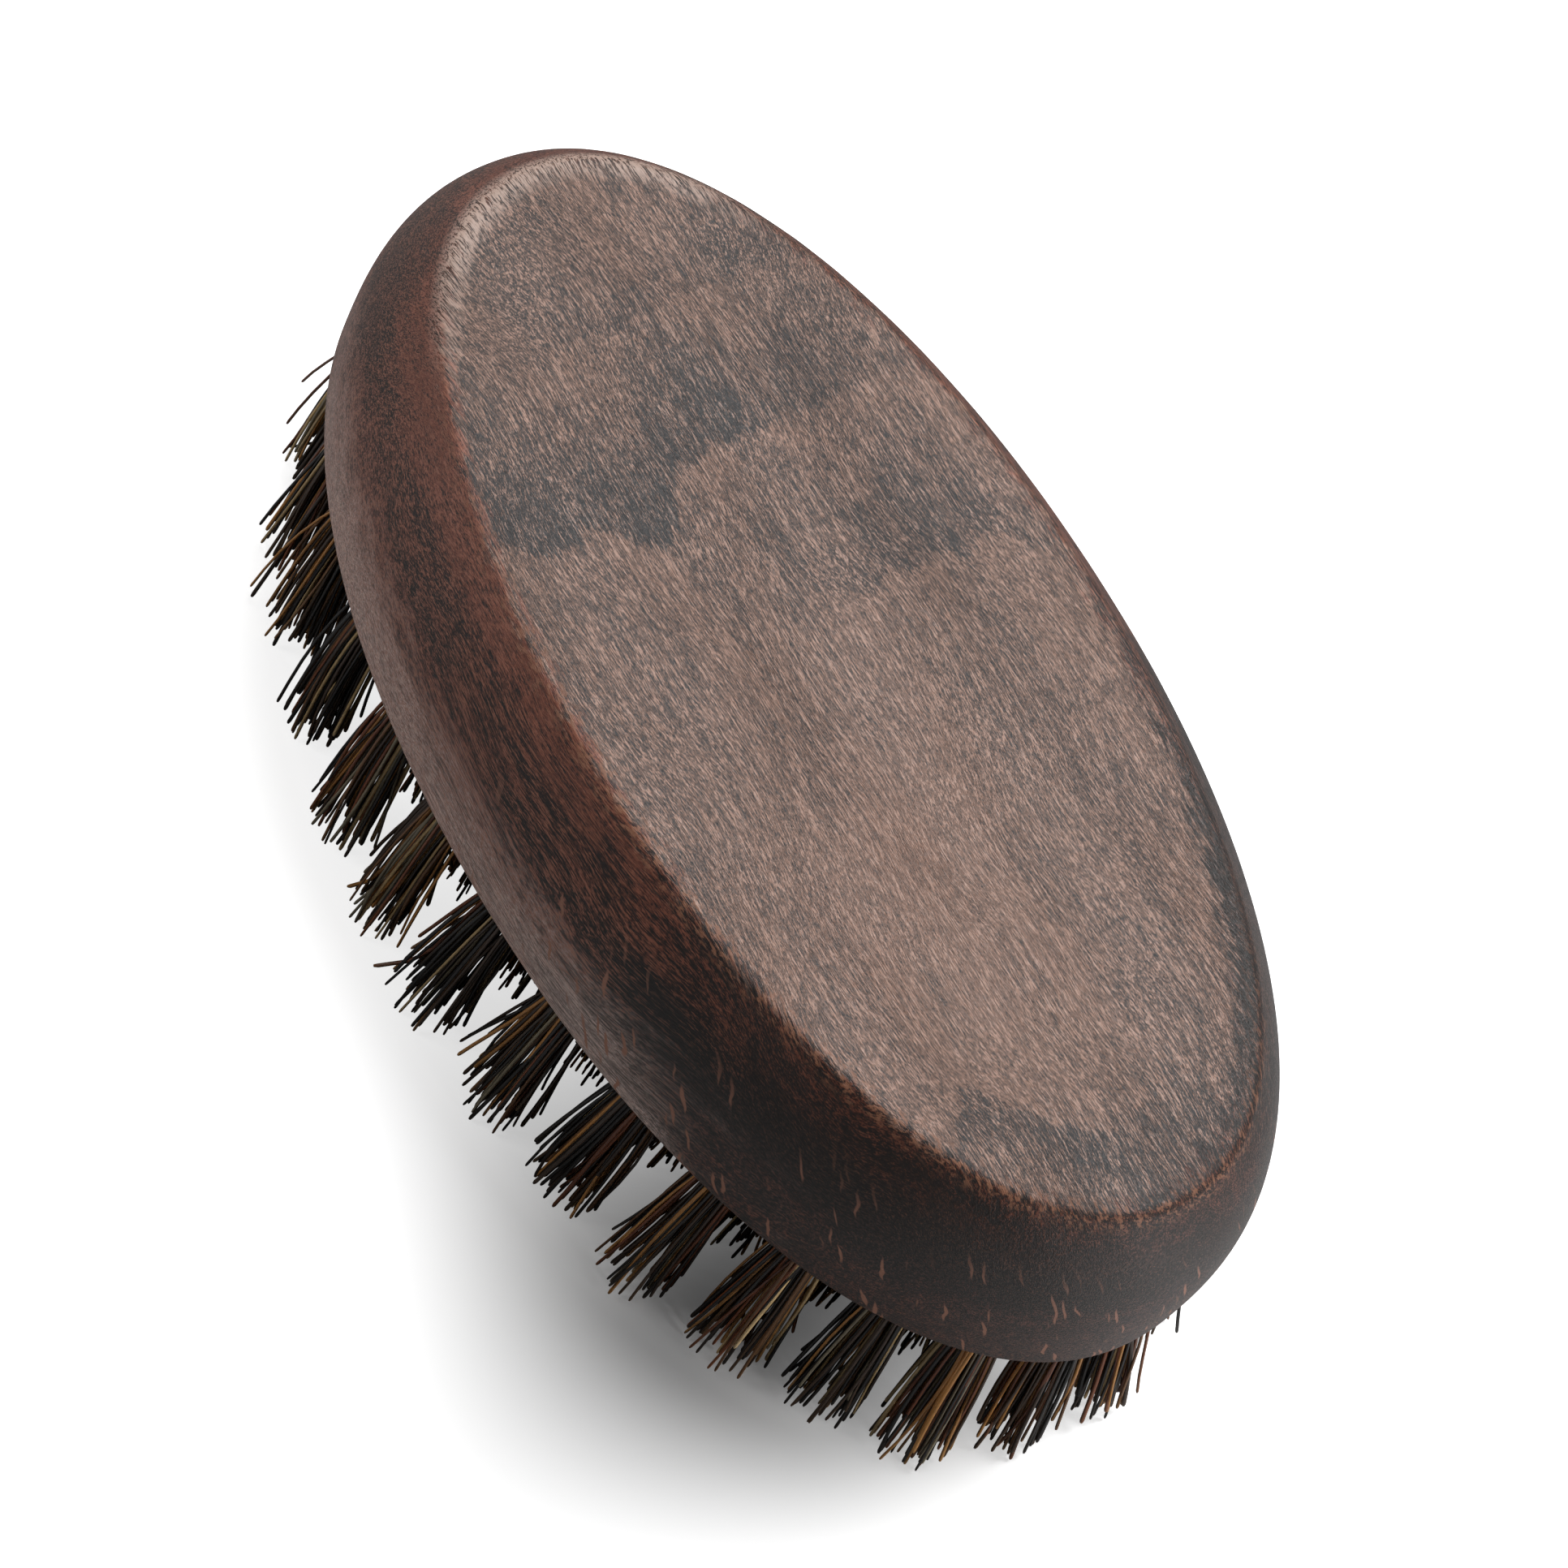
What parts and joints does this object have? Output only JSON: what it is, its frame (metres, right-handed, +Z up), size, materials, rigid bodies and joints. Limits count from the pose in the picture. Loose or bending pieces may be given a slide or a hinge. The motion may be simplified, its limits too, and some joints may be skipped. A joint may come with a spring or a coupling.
{
  "type": "beard brush",
  "caption": "Oval palm-held beard brush: a dark-stained one-piece wooden block with natural boar-bristle tufts set in blind holes in its flat underside.",
  "frame": {"origin": "on the plane of the bristle tips, under the centre of the oval block", "axes": "+X along the block's length, +Y across its width, +Z up from the bristle tips to the palm side of the block"},
  "size_m": [0.1058, 0.0594, 0.035],
  "materials": {
    "stained_wood": "satin dark-stained beech, open fine grain, worn reddish edges",
    "boar_bristle": "natural boar bristle, mostly black with brown, amber and blond hairs, cut ends",
    "anchor_wire": "flat drawn wire"
  },
  "bodies": {
    "root": {"wood_block": "stained_wood", "outer_tuft_01": "boar_bristle", "outer_tuft_02": "boar_bristle", "outer_tuft_03": "boar_bristle", "outer_tuft_04": "boar_bristle", "outer_tuft_05": "boar_bristle", "outer_tuft_06": "boar_bristle", "outer_tuft_07": "boar_bristle", "outer_tuft_08": "boar_bristle", "outer_tuft_09": "boar_bristle", "outer_tuft_10": "boar_bristle", "outer_tuft_11": "boar_bristle", "outer_tuft_12": "boar_bristle", "outer_tuft_13": "boar_bristle", "outer_tuft_14": "boar_bristle", "outer_tuft_15": "boar_bristle", "outer_tuft_16": "boar_bristle", "outer_tuft_17": "boar_bristle", "outer_tuft_18": "boar_bristle", "outer_tuft_19": "boar_bristle", "outer_tuft_20": "boar_bristle", "outer_tuft_21": "boar_bristle", "outer_tuft_22": "boar_bristle", "outer_tuft_23": "boar_bristle", "outer_tuft_24": "boar_bristle", "outer_tuft_25": "boar_bristle", "outer_tuft_26": "boar_bristle", "outer_tuft_27": "boar_bristle", "outer_tuft_28": "boar_bristle", "outer_tuft_29": "boar_bristle", "outer_tuft_30": "boar_bristle", "second_ring_tuft_01": "boar_bristle", "second_ring_tuft_02": "boar_bristle", "second_ring_tuft_03": "boar_bristle", "second_ring_tuft_04": "boar_bristle", "second_ring_tuft_05": "boar_bristle", "second_ring_tuft_06": "boar_bristle", "second_ring_tuft_07": "boar_bristle", "second_ring_tuft_08": "boar_bristle", "second_ring_tuft_09": "boar_bristle", "second_ring_tuft_10": "boar_bristle", "second_ring_tuft_11": "boar_bristle", "second_ring_tuft_12": "boar_bristle", "second_ring_tuft_13": "boar_bristle", "second_ring_tuft_14": "boar_bristle", "second_ring_tuft_15": "boar_bristle", "second_ring_tuft_16": "boar_bristle", "second_ring_tuft_17": "boar_bristle", "second_ring_tuft_18": "boar_bristle", "second_ring_tuft_19": "boar_bristle", "second_ring_tuft_20": "boar_bristle", "second_ring_tuft_21": "boar_bristle", "second_ring_tuft_22": "boar_bristle", "second_ring_tuft_23": "boar_bristle", "second_ring_tuft_24": "boar_bristle", "third_ring_tufts_left": "boar_bristle", "third_ring_tufts_right": "boar_bristle", "centre_row_tufts": "boar_bristle"}
  },
  "joints": []
}
